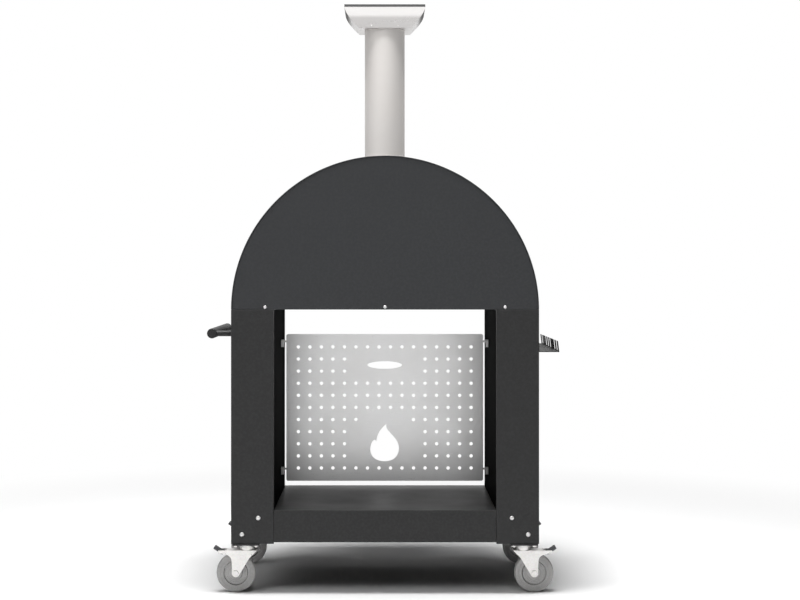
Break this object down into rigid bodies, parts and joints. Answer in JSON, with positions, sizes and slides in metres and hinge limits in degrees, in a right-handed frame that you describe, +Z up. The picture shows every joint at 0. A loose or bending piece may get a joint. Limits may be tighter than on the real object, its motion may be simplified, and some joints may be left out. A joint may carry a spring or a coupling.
{
  "type": "wood fired pizza oven",
  "caption": "Wood fired pizza oven with a half-round steel body, flared flue cap and hinged door, on a wheeled cart with a log shelf, perforated panel, side handle and tool rack.",
  "frame": {"origin": "on the floor, under the middle of the whole object", "axes": "+Z up, the mouth faces -Y, +X to the right of someone who stands in front of the mouth"},
  "size_m": [1.13, 0.794, 1.9515],
  "materials": {
    "painted_steel": "matte",
    "stainless": "satin",
    "mineral_wool": "matte",
    "refractory": "matte",
    "black_plastic": "matte",
    "beech": "satin",
    "needle_black": "matte",
    "clear_glass": "polished",
    "zinc": "satin",
    "wheel_rubber": "matte",
    "pedal_plastic": "matte"
  },
  "bodies": {
    "oven": {"right_side_frame": "painted_steel", "left_side_frame": "painted_steel", "right_base_rail": "painted_steel", "left_base_rail": "painted_steel", "bottom_shelf": "painted_steel", "side_handle": "painted_steel", "tool_rack": "painted_steel", "roof_shell": "painted_steel", "back_panel": "painted_steel", "front_panel": "painted_steel", "base_pan": "painted_steel", "perforated_panel": "stainless", "right_upper_panel_clip": "stainless", "right_lower_panel_clip": "stainless", "left_upper_panel_clip": "stainless", "left_lower_panel_clip": "stainless", "cooking_chamber": "stainless", "mouth_frame": "stainless", "landing_shelf": "stainless", "flue_neck": "stainless", "roof_collar": "stainless", "flue_pipe": "stainless", "cap_bowl": "stainless", "cap_lid": "stainless", "lower_hinge_base": "stainless", "upper_hinge_base": "stainless", "floor_insulation": "mineral_wool", "insulation_blanket": "mineral_wool", "back_insulation": "mineral_wool", "front_insulation": "mineral_wool", "right_hearth_tile": "refractory", "left_hearth_tile": "refractory", "rear_right_caster_plate": "zinc", "rear_left_caster_plate": "zinc", "front_right_caster_plate": "zinc", "front_left_caster_plate": "zinc"},
    "door": {"door_panel": "stainless", "door_inner_plate": "stainless", "lower_hinge_strap": "stainless", "upper_hinge_strap": "stainless", "door_handle": "stainless", "door_grip": "beech", "thermometer_case": "stainless", "thermometer_glass": "clear_glass"},
    "vent": {"vent_slider": "stainless"},
    "needle": {"thermometer_needle": "needle_black"},
    "damper": {"damper_blade": "stainless", "damper_knob": "black_plastic"},
    "rear_right_swivel": {"rear_right_caster_fork": "zinc"},
    "rear_right_roller": {"rear_right_wheel": "wheel_rubber"},
    "rear_right_brake": {"rear_right_brake_pedal": "pedal_plastic"},
    "rear_left_swivel": {"rear_left_caster_fork": "zinc"},
    "rear_left_roller": {"rear_left_wheel": "wheel_rubber"},
    "rear_left_brake": {"rear_left_brake_pedal": "pedal_plastic"},
    "front_right_swivel": {"front_right_caster_fork": "zinc"},
    "front_right_roller": {"front_right_wheel": "wheel_rubber"},
    "front_right_brake": {"front_right_brake_pedal": "pedal_plastic"},
    "front_left_swivel": {"front_left_caster_fork": "zinc"},
    "front_left_roller": {"front_left_wheel": "wheel_rubber"},
    "front_left_brake": {"front_left_brake_pedal": "pedal_plastic"}
  },
  "joints": [
    {"name": "door_hinge", "type": "hinge", "parent": "oven", "child": "door", "pos_m": [-0.282, -0.2588, 1.065], "axis": [0, 0, -1], "range_deg": [0, 120]},
    {"name": "vent_slide", "type": "slide", "parent": "door", "child": "vent", "axis": [1, 0, 0], "range_m": [0, 0.022]},
    {"name": "needle_turn", "type": "hinge", "parent": "door", "child": "needle", "pos_m": [0, -0.263, 1.1263], "axis": [0, 1, 0], "range_deg": [0, 260]},
    {"name": "damper_turn", "type": "hinge", "parent": "oven", "child": "damper", "pos_m": [0, -0.113, 1.3513], "axis": [0, 1, 0], "range_deg": [0, 90]},
    {"name": "rear_right_swivel", "type": "hinge", "parent": "oven", "child": "rear_right_swivel", "pos_m": [0.443, 0.347, 0.145], "axis": [0, 0, 1], "continuous": true},
    {"name": "rear_right_roll", "type": "hinge", "parent": "rear_right_swivel", "child": "rear_right_roller", "pos_m": [0.4775, 0.347, 0.0625], "axis": [0, 1, 0], "continuous": true},
    {"name": "rear_right_pedal", "type": "hinge", "parent": "rear_right_swivel", "child": "rear_right_brake", "pos_m": [0.523, 0.347, 0.127], "axis": [0, 1, 0], "range_deg": [0, 15]},
    {"name": "rear_left_swivel", "type": "hinge", "parent": "oven", "child": "rear_left_swivel", "pos_m": [-0.443, 0.347, 0.145], "axis": [0, 0, 1], "continuous": true},
    {"name": "rear_left_roll", "type": "hinge", "parent": "rear_left_swivel", "child": "rear_left_roller", "pos_m": [-0.4775, 0.347, 0.0625], "axis": [0, 1, 0], "continuous": true},
    {"name": "rear_left_pedal", "type": "hinge", "parent": "rear_left_swivel", "child": "rear_left_brake", "pos_m": [-0.523, 0.347, 0.127], "axis": [0, -1, 0], "range_deg": [0, 15]},
    {"name": "front_right_swivel", "type": "hinge", "parent": "oven", "child": "front_right_swivel", "pos_m": [0.443, -0.117, 0.145], "axis": [0, 0, 1], "continuous": true},
    {"name": "front_right_roll", "type": "hinge", "parent": "front_right_swivel", "child": "front_right_roller", "pos_m": [0.4775, -0.117, 0.0625], "axis": [0, 1, 0], "continuous": true},
    {"name": "front_right_pedal", "type": "hinge", "parent": "front_right_swivel", "child": "front_right_brake", "pos_m": [0.523, -0.117, 0.127], "axis": [0, 1, 0], "range_deg": [0, 15]},
    {"name": "front_left_swivel", "type": "hinge", "parent": "oven", "child": "front_left_swivel", "pos_m": [-0.443, -0.117, 0.145], "axis": [0, 0, 1], "continuous": true},
    {"name": "front_left_roll", "type": "hinge", "parent": "front_left_swivel", "child": "front_left_roller", "pos_m": [-0.4775, -0.117, 0.0625], "axis": [0, 1, 0], "continuous": true},
    {"name": "front_left_pedal", "type": "hinge", "parent": "front_left_swivel", "child": "front_left_brake", "pos_m": [-0.523, -0.117, 0.127], "axis": [0, -1, 0], "range_deg": [0, 15]}
  ]
}
